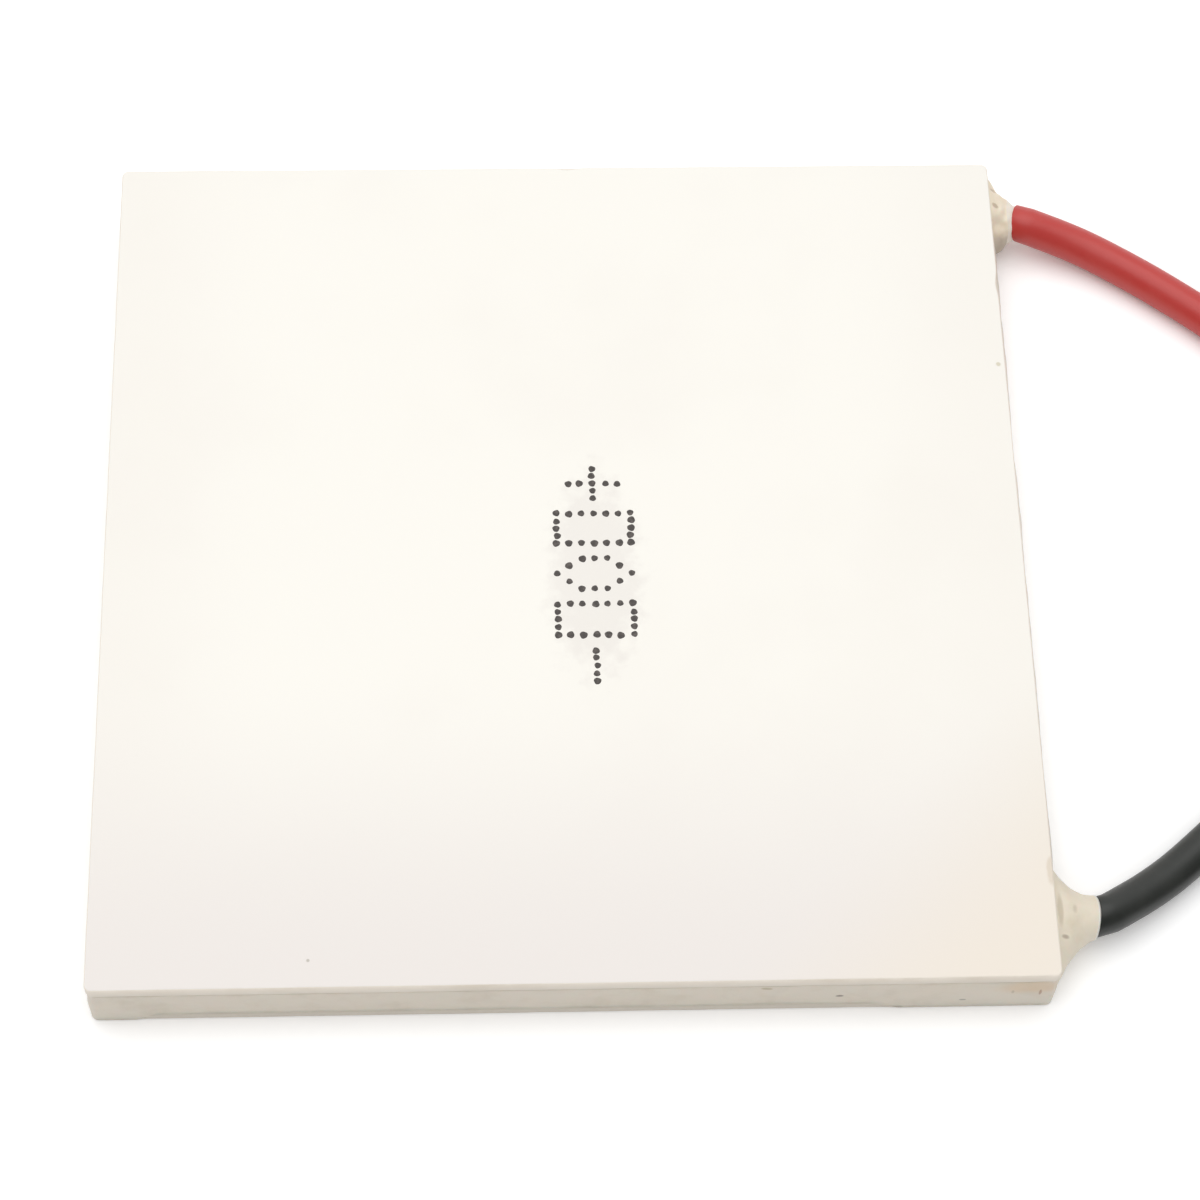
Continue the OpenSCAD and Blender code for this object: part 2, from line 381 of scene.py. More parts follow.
@dataclass(frozen=True)
class Metal:
    """A bare metal with a worked surface: base colour, tarnish in patches and a fine texture."""

    name: str
    colour: str
    tarnish: str
    roughness: float
    patch: float
    relief: float

    def build(self) -> Material:
        """Returns the metal."""
        surface = Surface.start(self.name, self.roughness, metallic=1.0)
        patches, colour = surface.mottle(self.patch, (self.colour, self.tarnish), (0.42, 0.7, 0.8))
        surface.dull(patches, self.roughness, self.roughness + 0.2)
        surface.roughen(self.patch / 4, 0.3, self.relief, 3.0)
        return surface.paint(colour)


@dataclass(frozen=True)
class MarkingInk:
    """Jet-printed ink, dried matt: a dark grey that is paler where it is thin."""

    name: str = "marking_ink"
    colour: str = "4a4542"
    thin: str = "766e69"

    def build(self) -> Material:
        """Returns the ink."""
        surface = Surface.start(self.name, 0.7)
        return surface.paint(surface.mottle(0.2 * MM, (self.colour, self.thin), (0.45, 0.75, 0.7), 3.0)[1])


# Ground alumina scatters light evenly: a warm white with no highlight, faintly grey by the marks.
ALUMINA = FiredAlumina(
    spots=(
        Spot((1.25, -1.15, 3.4), (4.4, 1.0), "ebe5df", 0.5, 10.5, 0.5),
        Spot((-10.9, -18.8, 3.4), (0.16, 0.3), "a8a090", 0.6),
        Spot((19.66, 9.2, 3.4), (0.24, 0.3), "c9bd9a", 0.6),
        Spot((19.9, -15.3, 3.35), (0.36, 0.8), "dccdb8", 0.6, 1.3),
    ),
)
# A snapped edge is rougher, stained in patches, creamier and duller than the faces, and darker low down.
SNAPPED = SnappedAlumina()
# The bead was pressed in and wiped: a smooth greyish cream, with specks of dust and flux.
BEAD = SiliconeSealant(
    "bead_sealant", "dcd3c5", "ccc1af", relief=0.06 * MM,
    spots=(
        # Painted light: a pale cream over the lead side's bead, whose swell lies in shade under the cold
        # plate.
        Spot((20.2, 0, 2.0), (1.2, 4), "f2ede2", 0.85, 42),
        Spot((18.9, -20, 2.15), (2.4, 1.1), "d9bd9b", 0.5, 1.2, 0.9),
        Spot((19.3, -20, 1.6), (0.14, 0.6), "96694c", 0.6, 1.2),
        Spot((11.0, -20, 1.35), (0.34, 0.2), "6d5f56", 0.75, 1.2),
        Spot((16.15, -20, 0.9), (0.3, 0.16), "7d7068", 0.6, 1.2),
        Spot((18.15, -20, 1.7), (0.14, 0.3), "aa9d86", 0.5, 1.2),
        Spot((13.5, -20, 0.2), (0.5, 0.2), "8c8279", 0.5, 1.2),
        Spot((7.9, -20, 2.4), (0.5, 0.2), "a08f63", 0.6, 1.2),
        Spot((-15.1, -20, 0.1), (0.18, 0.3), "807a70", 0.7, 1.2),
    ),
)
# Sealant drawn out by hand along the black lead: an even cream with faint marks at its foot.
FUNNEL = SiliconeSealant(
    "funnel_sealant", "e8decb", "d6cab2",
    spots=(
        Spot((20.35, -18.05, 2.5), (0.32, 1.2), "7a6656", 0.5, 0.18, 0.8),
        Spot((20.8, -16.85, 2.6), (0.36, 0.7), "b9ac96", 0.7, 0.6),
        Spot((20.2, -16.95, 2.8), (0.3, 1.2), "bfb29b", 0.6, 1.5),
    ),
)
# A dab on the red lead that set in lumps: the warmest cream, with smudges by the corner.
FILLET = SiliconeSealant(
    "fillet_sealant", "f5e9d3", "e3d4b8",
    spots=(
        Spot((20.3, 19.0, 2.6), (0.4, 0.9), "c3aa8c", 0.7),
        Spot((20.3, 18.0, 3.0), (0.35, 0.9), "b39b7f", 0.7),
        # Painted shadow: a grey patch on the seal's lower side, on the sheet that sags under the lead.
        Spot((20.9, 16.3, 0.9), (2.6, 1.6), "9a9088", 0.6, 2.0, 1.2),
    ),
)
# Where sealant ends in a thin rim or film, it looks paler and less yellow.
THIN_RIM = SiliconeSealant("thin_rim_sealant", "f4eee4", "e6ddce")
FILM = SiliconeSealant("thin_silicone_film", "efe7da", "dbd0c0")
# Smooth extruded PVC: a soft highlight along each lead, dimmer on the black one.
RED_PVC = Pvc("red_pvc", "be2d26", "c0413a", gloss=0.64)
BLACK_PVC = Pvc("black_pvc", "1e211d", "30322e", gloss=0.42)
TIE_PVC = Pvc("white_strip_pvc", "eceae4", "dcd8ce", 0.4)
# Metals: bright silvery strands, duller solder, warm copper sheet with brown oxide, and sawn
# bismuth telluride, a dull grey that is a little lighter in the n-type.
TINNED = Metal("tinned_copper", "d2d0ca", "a9a69e", 0.3, 0.8 * MM, 0.02 * MM)
SOLDER = Metal("tin_solder", "c9c8c4", "9b9a95", 0.34, 0.7 * MM, 0.02 * MM)
COPPER = Metal("rolled_copper", "d89070", "a8684a", 0.32, 2.5 * MM, 0.01 * MM)
P_TELLURIDE = Metal("sawn_telluride_p", "8a8a8e", "64646a", 0.5, 0.4 * MM, 0.02 * MM)
N_TELLURIDE = Metal("sawn_telluride_n", "9a9ca2", "70737a", 0.48, 0.4 * MM, 0.02 * MM)
# Dried ink has no sheen, so the drops stay dark from every side.
INK = MarkingInk()


@dataclass
class Shape:
    """Vertices and faces under way, with a material place for each face."""

    points: list[Vector] = field(default_factory=list)
    faces: list[tuple[int, ...]] = field(default_factory=list)
    places: list[int] = field(default_factory=list)
    flat: list[bool] = field(default_factory=list)

    def face(self, corners: Sequence[int], place: int = 0, flat: bool = False) -> None:
        """Adds one face with its material place."""
        self.faces.append(tuple(corners))
        self.places.append(place)
        self.flat.append(flat)

    def loft(
        self,
        rings: Sequence[Sequence[Vector]],
        caps: bool = True,
        loop: bool = False,
        place_of: Callable[[int], int] = lambda k: 0,
        flat_caps: bool = False,
    ) -> "Shape":
        """Joins closed rings of equal length into a skin.

        Args:
            rings: the rings in order.
            caps: whether the first and the last ring are filled.
            loop: whether the last ring joins the first.
            place_of: the material place of the band after ring k.
            flat_caps: whether the caps are shaded flat.

        Returns:
            The shape itself.
        """
        base = len(self.points)
        count = len(rings[0])
        for ring in rings:
            self.points.extend(ring)
        for k in range(len(rings) - (0 if loop else 1)):
            low = base + k * count
            high = base + (k + 1) % len(rings) * count
            for s in range(count):
                t = (s + 1) % count
                self.face((low + s, low + t, high + t, high + s), place_of(k))
        if caps and not loop:
            self.face(range(base + count - 1, base - 1, -1), place_of(0), flat_caps)
            last = base + (len(rings) - 1) * count
            self.face(range(last, last + count), place_of(len(rings) - 2), flat_caps)
        return self

    def build(self, name: str, finishes: Sequence[Material]) -> Object:
        """Makes the object.

        Args:
            name: the piece's name.
            finishes: its materials, by place.

        Returns:
            The object, in the scene.
        """
        mesh = bpy.data.meshes.new(name)
        mesh.from_pydata(self.points, [], self.faces)
        for material in finishes:
            mesh.materials.append(material)
        mesh.polygons.foreach_set("material_index", self.places)
        mesh.polygons.foreach_set("use_smooth", [not flat for flat in self.flat])
        mesh.validate()
        mesh.update()
        made = bpy.data.objects.new(name, mesh)
        bpy.context.scene.collection.objects.link(made)
        return made


def smooth_step(x: float) -> float:
    """Returns an even rise from 0 at x = 0 to 1 at x = 1, flat outside."""
    x = min(1.0, max(0.0, x))
    return x * x * (3 - 2 * x)


def rough(x: float, y: float, z: float, size: float) -> float:
    """Returns smooth noise from -1 to 1 at a point, with features of a size in metres."""
    return noise.noise(Vector((x, y, z)) / size)


def spline(points: Sequence[Vector], step: float) -> list[Vector]:
    """Draws a smooth curve through points.

    Args:
        points: the points, of which the first and the last only steer the curve.
        step: about the distance between the curve's points.

    Returns:
        Points from the second given point up to the last but one.
    """
    drawn = []
    for a, b, c, d in zip(points, points[1:], points[2:], points[3:]):
        count = max(1, round((c - b).length / step))
        for k in range(count):
            t = k / count
            curve = 2 * b + (c - a) * t + (2 * a - 5 * b + 4 * c - d) * t**2 + (3 * b - a - 3 * c + d) * t**3
            drawn.append(0.5 * curve)
    drawn.append(points[-2].copy())
    return drawn


def frames_along(path: Sequence[Vector]) -> list[tuple[Vector, Vector, Vector]]:
    """Gives each point of a path its direction and two directions across it, one of them level."""
    found = []
    for k in range(len(path)):
        way = (path[min(k + 1, len(path) - 1)] - path[max(k - 1, 0)]).normalized()
        across = Vector((-way.y, way.x, 0)).normalized()
        found.append((way, across, way.cross(across)))
    return found


def circle(centre: Vector, across: Vector, up: Vector, radius: float, sides: int, turn: float = 0.0) -> list:
    """Returns a ring of points about a centre."""
    return [
        centre + radius * (math.cos(a) * across + math.sin(a) * up)
        for a in (turn + 2 * math.pi * s / sides for s in range(sides))
    ]


def settle(piece: Object, slot: str, *nodes: str) -> Object:
    """Rides a piece on the module in place of CAD nodes, which it hides, and logs its faces."""
    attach(piece, ROOT)
    if nodes:
        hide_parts(*nodes)
    LOG.info("%s: %d faces, for %s", piece.name, len(piece.data.polygons), ", ".join(nodes) or "no node")
    return piece


@dataclass
class Studio:
    """A camera over the near edge, a large soft lamp behind and above, and a white floor."""

    focal: float = 99.08
    azimuth: float = -4.0273
    elevation: float = 63.0308
    roll: float = 2.8905
    distance: float = 146.4616 * MM
    target: Vector = field(default_factory=lambda: Vector((1.5709, -0.7325, 0)) * MM)
    lamp_at: Vector = field(default_factory=lambda: Vector((-0.05, 0.06, 0.6)))
    lamp_size: float = 0.8
    lamp_share: float = 0.37
    sky_share: float = 0.61
    mirrored_front: float = 0.25
    mirrored_back: float = 1.2
    floor_gain: float = 1.05
    floor_lift: float = 0.18
    contact_reach: float = 1.4 * MM
    floor_side: float = 3.0

    def build(self) -> None:
        """Places the camera, the lamp, the sky and the floor."""
        self.place_camera()
        self.place_lamp()
        self.colour_sky()
        self.lay_floor()
        bpy.context.scene.view_settings.view_transform = "Standard"

    def place_camera(self) -> None:
        """Puts the camera at its angle and turns it about its own line of sight."""
        az, el = math.radians(self.azimuth), math.radians(self.elevation)
        back = Vector((math.sin(az) * math.cos(el), -math.cos(az) * math.cos(el), math.sin(el)))
        right = (-back).cross(UP).normalized()
        up = right.cross(-back)
        turn = math.radians(self.roll)
        across = math.cos(turn) * right + math.sin(turn) * up
        over = math.cos(turn) * up - math.sin(turn) * right
        data = bpy.data.cameras.new("camera")
        data.lens = self.focal
        data.sensor_width = 36
        data.clip_start = 1 * MM
        camera = bpy.data.objects.new("camera", data)
        camera.matrix_world = Matrix.Translation(self.target + self.distance * back) @ Matrix(
            (across, over, back)
        ).transposed().to_4x4()
        bpy.context.scene.collection.objects.link(camera)
        bpy.context.scene.camera = camera

    def place_lamp(self) -> None:
        """Hangs the soft lamp, at a power that lights the top face by its share."""
        data = bpy.data.lights.new("soft_lamp", "AREA")
        data.shape = "DISK"
        data.size = self.lamp_size
        fall = self.lamp_at.length
        spread = fall**2 + (self.lamp_size / 2) ** 2
        data.energy = self.lamp_share * math.pi**2 * spread * fall / self.lamp_at.z
        lamp = bpy.data.objects.new("soft_lamp", data)
        lamp.location = self.lamp_at
        lamp.rotation_euler = self.lamp_at.to_track_quat("Z", "Y").to_euler()
        bpy.context.scene.collection.objects.link(lamp)

    def any_ray(self, tree: Tree, *kinds: str) -> Socket:
        """Returns a socket that is 1 for rays of the named kinds, such as "Glossy"."""
        path = add_node(tree, "LightPath")
        found = path.outputs[f"Is {kinds[0]} Ray"]
        for kind in kinds[1:]:
            ray = path.outputs[f"Is {kind} Ray"]
            found = add_node(tree, "Math", {"operation": "MAXIMUM"}, {0: found, 1: ray}).outputs[0]
        return found

    def colour_sky(self) -> None:
        """Lights from all round by the sky's share, duller in reflections, and shows white behind."""
        world = bpy.data.worlds.new("sky")
        world.use_nodes = True
        bpy.context.scene.world = world
        tree = world.node_tree
        seen = self.any_ray(tree, "Camera", "Transmission")
        way = add_node(tree, "TexCoord").outputs["Generated"]
        split = add_node(tree, "SeparateXYZ", None, {"Vector": way})
        mirrored = add_node(
            tree, "MapRange",
            {
                "interpolation_type": "SMOOTHSTEP",
                1: -0.5, 2: 0.6, 3: self.mirrored_front, 4: self.mirrored_back,
            },
            {"Value": split.outputs["Y"]},
        )
        dim = add_node(
            tree, "MapRange", {3: self.sky_share},
            {"Value": self.any_ray(tree, "Glossy"), 4: mirrored.outputs[0]},
        )
        strength = add_node(tree, "Math", {"operation": "MAXIMUM"}, {0: seen, 1: dim.outputs[0]})
        tree.links.new(strength.outputs[0], tree.nodes["Background"].inputs["Strength"])
        tree.nodes["Background"].inputs["Color"].default_value = (1, 1, 1, 1)

    def lay_floor(self) -> None:
        """Lays a white floor that keeps the module's shadow and is lifted to white elsewhere."""
        material = bpy.data.materials.new("white_floor")
        material.use_nodes = True
        tree = material.node_tree
        tree.nodes.clear()
        seen = self.any_ray(tree, "Camera", "Glossy", "Transmission")
        white = add_node(tree, "MapRange", {3: 0.92, 4: self.floor_gain}, {"Value": seen})
        matt = add_node(tree, "BsdfDiffuse", None, {"Color": white.outputs[0]})
        # Painted contact shade: ambient occlusion takes the lift away near the module and the leads.
        near = add_node(tree, "AmbientOcclusion", {"samples": 12, "Distance": self.contact_reach})
        clear = add_node(tree, "MapRange", {4: self.floor_lift}, {"Value": near.outputs["AO"]})
        lift = add_node(tree, "Math", {"operation": "MULTIPLY"}, {0: seen, 1: clear.outputs[0]})
        glow = add_node(tree, "Emission", None, {"Strength": lift.outputs[0]})
        both = add_node(tree, "AddShader", None, {0: matt.outputs[0], 1: glow.outputs[0]})
        add_node(tree, "OutputMaterial", None, {"Surface": both.outputs[0]})
        side = self.floor_side / 2
        corners = ((-side, -side), (side, -side), (side, side), (-side, side))
        shape = Shape([Vector((x, y, -0.01 * MM)) for x, y in corners])
        shape.face((0, 1, 2, 3), flat=True)
        shape.build("floor", [material])


@dataclass
class Lead:
    """One insulated lead: out of its seal, along to a neat coil, and off to a tinned tip.

    The points of a route are the distance out from the plates' lead side, the distance in from
    the lead's corner, and the height as a share of the first point's height over a lead that
    lies on the surface. Sizes are in metres, apart from the points, which are in millimetres.
    """

    name: str
    lie: Lie
    finish: Pvc
    out_points: Sequence[Point]
    heading: float
    start: float
    lead_side: float
    exit_z: float
    seal: "LeadSeal"
    inset: float = 0.0
    cut_heading: float = 0.0
    cut_lean: float = 0.0
    wire: float = 1.7 * MM
    core: float = 1.0 * MM
    turn_gap: float = 0.05 * MM
    coil_r: float = 12.05 * MM
    coil_at: Point = (25.5, 5.25, 0)
    lower_turns: float = 2.3
    end_angle: float = -40 + 5 * 360
    rise_turns: float = 1 / 6
    tie_turn: float = 0.55
    tie_t: float = 0.3 * MM
    tie_w: float = 2.4 * MM
    tip_l: float = 5 * MM
    tail_points: Sequence[Point] = (
        (34.25, 12.6, 1), (35.85, 10.65, 1), (37.35, 8.65, 1), (38.75, 6.55, 1), (40.05, 4.4, 0.95),
    )
    sides: int = 20
    length: float = 295 * MM
    uneven: float = 0.006

    @property
    def floor_z(self) -> float:
        """Height of the middle of a lead that lies on the surface."""
        return self.wire / 2

    @property
    def pitch(self) -> float:
        """Distance between turns that lie side by side or on each other."""
        return self.wire + self.turn_gap

    @property
    def centre(self) -> Vector:
        """Middle of the coil, on the surface."""
        spot = self.placed([self.coil_at], self.floor_z)[0]
        return Vector((spot.x, spot.y, 0))

    def placed(self, points: Sequence[Point], top: float) -> list[Vector]:
        """Returns a route's points in the frame."""
        return [
            Vector((
                self.lead_side + out * MM,
                self.lie.value * (self.lead_side - back * MM),
                self.floor_z + share * (top - self.floor_z),
            ))
            for out, back, share in points
        ]

    def spiral_r(self, turns: float) -> float:
        """Returns the coil's radius after a number of turns: inwards below, outwards above."""
        inward = turns if turns < self.lower_turns else 2 * self.lower_turns - turns
        return self.coil_r - self.pitch * inward

    def coil(self, per_turn: int = 72) -> list[Vector]:
        """Returns the coil's points, which pass over the tie's strip on the lower layer."""
        total = (self.end_angle - self.start) / 360
        count = round(total * per_turn)
        points = []
        for k in range(count + 1):
            turns = total * k / count
            radius = self.spiral_r(turns)
            angle = math.radians(self.start + 360 * turns)
            rise = smooth_step((turns - self.lower_turns) / self.rise_turns + 0.5)
            off_tie = abs((turns - self.tie_turn + 0.5) % 1 - 0.5) * 2 * math.pi * radius
            over = self.tie_t * smooth_step(1 - (off_tie - self.tie_w / 2) / (4 * MM)) * (1 - rise)
            points.append(
                self.centre
                + Vector((
                    radius * math.cos(angle),
                    self.lie.value * radius * math.sin(angle),
                    self.floor_z + self.pitch * rise + over,
                ))
            )
        return points

    def path(self) -> list[Vector]:
        """Returns the lead's middle line, from its exit to the end of the insulation."""
        step = 0.6 * MM
        coil = self.coil()
        out = self.placed(self.out_points, self.exit_z)
        heading = math.radians(self.heading)
        before = out[0] - 2 * MM * Vector((math.cos(heading), math.sin(heading), 0))
        first = spline([before, *out, coil[0], coil[3]], step)
        tail = self.placed(self.tail_points, self.floor_z + self.pitch)[1:]
        onward = tail[-1] + (tail[-1] - tail[-2])
        last = spline([coil[-4], coil[-1], *tail, onward], step)
        return first[:-1] + coil[:-1] + last

    def build(self) -> Object:
        """Makes the insulation, with a rounded cut at each end."""
        path = self.path()
        frames = frames_along(path)
        angle = math.radians(self.cut_heading)
        inward = Vector((math.cos(angle), math.sin(angle), 0))
        aside = Vector((-inward.y, inward.x, 0))
        upright = (UP - self.cut_lean * inward).normalized()
        rings = self.cut_end(path[0] - self.inset * inward, inward, aside, upright)
        for point, (_, across, up) in list(zip(path, frames))[1:-1]:
            swell = 1 + self.uneven * rough(point.x, point.y, point.z, 3 * MM)
            rings.append(circle(point, across, up, self.wire / 2 * swell, self.sides))
        way, across, up = frames[-1]
        rings += self.cut_end(path[-1], -way, across, up)[::-1]
        lead = Shape().loft(rings).build(f"{self.name}_lead_insulation", [self.finish.build()])
        settle(
            lead, f"{self.name}_pvc",
            f"{self.name}_lead", f"{self.name}_lead_coil", f"{self.name}_lead_tail",
        )
        tip = self.build_tip(path)
        tie = self.build_tie()
        seal = self.build_seal()
        tuple(path[0])
        [tuple(point) for point in path]
        return lead

    def cut_end(self, spot: Vector, inward: Vector, across: Vector, up: Vector) -> list[list[Vector]]:
        """Returns the rings of a cut end, from the hole that the strands leave out to the skin."""
        edge = 0.05 * MM
        outer, inner = self.wire / 2, self.core / 2
        profile = ((0.3 * MM, inner), (0.0, inner), (0.0, outer - edge), (edge, outer))
        return [circle(spot + depth * inward, across, up, radius, self.sides) for depth, radius in profile]

    def build_tip(self, path: Sequence[Vector]) -> Object:
        """Makes the tinned strands that stand out of the far end: one, then six, then twelve."""
        way, across, up = frames_along(path)[-1]
        strand = self.core / 10
        shape = Shape()
        steps = 18
        reach = self.tip_l
        inset = 0.4 * MM
        for layer, count in enumerate((1, 6, 12)):
            radius = 2 * strand * layer
            for number in range(count):
                rings = []
                for k in range(steps + 1):
                    along = -inset + (reach + inset) * k / steps
                    turn = 2 * math.pi * (number / count + 0.35 * along / reach) + 0.2 * layer
                    spot = path[-1] + along * way + radius * (math.cos(turn) * across + math.sin(turn) * up)
                    thick = strand * (1.08 if k < steps else 0.7)
                    rings.append(circle(spot, across, up, thick, 8))
                shape.loft(rings)
        tip = shape.build(f"{self.name}_tinned_strands", [TINNED.build()])
        return settle(tip, "tinned_strands", f"{self.name}_lead_tip")

    def build_tie(self) -> Object:
        """Makes the coated strip round the turns, its two ends twisted together inside the coil."""
        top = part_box(f"{self.name}_lead_tie")[1].z
        angle = math.radians(self.lie.value * (self.start + 360 * self.tie_turn))
        outward = Vector((math.cos(angle), math.sin(angle), 0))
        sideways = Vector((-outward.y, outward.x, 0))
        coil_in = self.coil_r - self.lower_turns * self.pitch - self.wire / 2
        low_r = coil_in + self.tie_t / 2 - self.tie_t
        high_r = self.spiral_r(self.tie_turn) + self.wire / 2 + self.turn_gap + self.tie_t
        bend = 0.7 * MM
        middle_r, middle_z = (low_r + high_r) / 2, top / 2
        half_r, half_z = (high_r - low_r) / 2 - bend, top / 2 - bend
        rings = []
        for corner, (r_sign, z_sign) in enumerate(((1, 1), (-1, 1), (-1, -1), (1, -1))):
            for k in range(7):
                a = math.pi / 2 * (corner + k / 6)
                way = math.cos(a) * outward + math.sin(a) * UP
                out, lift = middle_r + r_sign * half_r, middle_z + z_sign * half_z
                spot = self.centre + out * outward + lift * UP + bend * way
                rings.append(self.strip_section(spot, -way, sideways))
        shape = Shape().loft(rings, loop=True)
        for half in (0, 1):
            twist = []
            reach = 4.4 * MM
            for k in range(37):
                along = reach * k / 36
                turn = 2 * math.pi * 2.2 * along / reach + math.pi * half
                side = math.cos(turn) * sideways + math.sin(turn) * UP
                lift = math.cos(turn) * UP - math.sin(turn) * sideways
                core = self.centre + (low_r + 0.1 * MM - along) * outward + middle_z * UP
                twist.append(self.strip_section(core + 0.02 * MM * lift, lift, 0.36 * side))
            shape.loft(twist)
        tie = shape.build(f"{self.name}_twist_tie", [TIE_PVC.build()])
        return settle(tie, "tie_strip", f"{self.name}_lead_tie")

    def strip_section(self, spot: Vector, inward: Vector, side: Vector) -> list[Vector]:
        """Returns the strip's section: a thin film with a wire's ridge along its middle."""
        half = self.tie_w / 2
        thin = 0.14 * MM
        outline = (
            (-1.0, 0.5), (-0.3, 0.5), (-0.16, 0.08), (0.0, 0.0), (0.16, 0.08), (0.3, 0.5), (1.0, 0.5),
            (1.0, 1.5), (0.3, 1.5), (0.0, 2.0), (-0.3, 1.5), (-1.0, 1.5),
        )
        return [spot + half * x * side + thin * y * inward for x, y in outline]

    def build_seal(self) -> Object:
        """Makes the sealant round the lead, from the plates' sides to the insulation."""
        return settle(self.seal.build(self), "silicone_sealant", f"{self.name}_lead_seal")


@dataclass
class LeadSeal:
    """Sealant pulled out along a lead, wide and flat at the plates and thin at its rim.

    Towards the lead's corner and away from it, a half-width at the plates goes with a belly, which
    says how late the sealant widens on its way there. The sag is how far its lower side sags out
    under the lead; on the red lead this sheet stands where there is only shade, and the fillet's grey
    spot paints the lead's shadow on it.
    """

    rim_heading: float
    corner: tuple[float, float]
    inner: tuple[float, float]
    rim_r: float
    lumps: float
    finish: SiliconeSealant
    film: SiliconeSealant
    foot_h: float = 1.45 * MM
    rim_bulge: float = 0.1 * MM
    reach_over: float = 0.1 * MM
    film_share: float = 0.12
    shadow_sag: float = 0.0
    around: int = 56
    steps: int = 24

    def build(self, lead: "Lead") -> Object:
        """Lofts the sealant from inside the insulation's end to the recess between the plates."""
        exit_at = lead.placed(lead.out_points[:1], lead.exit_z)[0]
        heading = math.radians(self.rim_heading)
        outward = Vector((math.cos(heading), math.sin(heading), 0))
        tip = exit_at + self.reach_over * outward
        foot = Vector((lead.lead_side, tip.y - (tip.x - lead.lead_side) * math.tan(heading), tip.z))
        side = Vector((-outward.y, outward.x, 0))
        rings = [circle(tip - 0.12 * MM * outward, side, UP, self.rim_r - 0.1 * MM, self.around)]
        for k in range(self.steps + 1):
            t = k / self.steps
            angle = heading * (1 - t)
            side = Vector((-math.sin(angle), math.cos(angle), 0))
            high = self.rim_r + (self.foot_h - self.rim_r) * t**1.3
            deep = self.rim_r + (self.foot_h - self.rim_r) * t**0.4
            middle = tip.lerp(foot, t)
            ring = []
            for s in range(self.around):
                a = 2 * math.pi * s / self.around
                to_corner = math.cos(a) * lead.lie.value > 0
                wide, belly = self.corner if to_corner else self.inner
                wide = self.rim_r + (wide - self.rim_r) * t**belly
                tall = high if math.sin(a) > 0 else deep
                # Away from the corner the lower side sags out: a sheet that stands where there is only shade.
                if not to_corner:
                    wide += self.shadow_sag * smooth_step(-1.6 * math.sin(a)) * smooth_step(2.2 * t)
                out = math.cos(a) * side * wide + math.sin(a) * UP * tall
                spot = middle + out + outward * self.rim_bulge * (1 - t) * math.sin(a) ** 2
                bump = rough(spot.x, spot.y, spot.z, 0.7 * MM) + 0.5 * rough(spot.x, spot.y, spot.z, 0.3 * MM)
                rise = self.lumps * bump * smooth_step(t * 3) * (1 - smooth_step((t - 0.85) / 0.15))
                ring.append(spot + out.normalized() * rise)
            rings.append(ring)
        for depth, share in ((0.02 * MM, 0.98), (0.2 * MM, 0.62)):
            rings.append([
                Vector((lead.lead_side - depth, point.y, tip.z + share * (point.z - tip.z)))
                for point in rings[self.steps + 1]
            ])
        film_from = len(rings) - 2 - round(self.film_share * self.steps)
        shape = Shape().loft(rings[::-1], place_of=lambda k: int(k >= film_from))
        return shape.build(f"{lead.name}_lead_sealant", [self.finish.build(), self.film.build()])


@dataclass
class Outline:
    """The plates' outline: a square with round corners, walked at even steps."""

    half: float
    corner: float = 0.3 * MM
    step: float = 0.25 * MM

    def walk(self) -> list[tuple[Vector, Vector]]:
        """Returns points on the outline with the directions that face out of it."""
        points = []
        flat = self.half - self.corner
        count = round(2 * flat / self.step)
        for side in range(4):
            turn = Matrix.Rotation(side * math.pi / 2, 3, "Z")
            for k in range(count):
                spot = Vector((self.half, -flat + 2 * flat * k / count, 0))
                points.append((turn @ spot, turn @ Vector((1, 0, 0))))
            for k in range(8):
                a = math.pi / 2 * k / 8
                out = Vector((math.cos(a), math.sin(a), 0))
                points.append((turn @ (Vector((flat, flat, 0)) + self.corner * out), turn @ out))
        return points


@dataclass
class CeramicPlate:
    """One alumina plate, with its edges broken and its snapped sides left a little uneven."""

    node: str
    name: str
    edge: float = 0.07 * MM
    edge_steps: int = 3
    uneven: float = 0.02 * MM
    chips: int = 2
    seed: int = 1

    def build(self) -> Object:
        """Lofts the plate from its underside to its top face."""
        low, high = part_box(self.node)
        outline = Outline(high.x).walk()
        dice = random.Random(self.seed)
        nicks = [(dice.randrange(len(outline)), dice.uniform(0.05, 0.14) * MM) for _ in range(self.chips)]
        rounding = [math.pi / 2 * k / self.edge_steps for k in range(self.edge_steps + 1)]
        profile = [(self.edge * (1 - math.sin(a)), self.edge * (1 - math.cos(a))) for a in rounding]
        levels = [(inset, low.z + lift, 0.0) for inset, lift in profile]
        levels += [(0.0, (2 * low.z + high.z) / 3, 1.0), (0.0, (low.z + 2 * high.z) / 3, 1.0)]
        levels += [(inset, high.z - lift, 1.0) for inset, lift in reversed(profile)]
        rings = [self.ring(outline, *level, nicks) for level in levels]
        sides = range(1, len(rings) - 2)
        shape = Shape().loft(rings, place_of=lambda k: int(k in sides), flat_caps=True)
        plate = shape.build(self.name, [ALUMINA.build(), SNAPPED.build()])
        return settle(plate, "alumina", self.node)

    def ring(
        self,
        outline: Sequence[tuple[Vector, Vector]],
        inset: float,
        height: float,
        share: float,
        nicks: Sequence[tuple[int, float]],
    ) -> list[Vector]:
        """Returns the outline at a height, pulled in by an inset, unevenness and nicks."""
        ring = []
        for k, (spot, out) in enumerate(outline):
            pull = inset + self.uneven * (0.5 + 0.5 * rough(spot.x, spot.y, height, 1.5 * MM))
            for at, depth in nicks:
                away = min((k - at) % len(outline), (at - k) % len(outline))
                pull += share * depth * smooth_step(1 - away / 3) * (1 if inset > 0 else 0.35)
            ring.append(spot - pull * out + height * UP)
        return ring


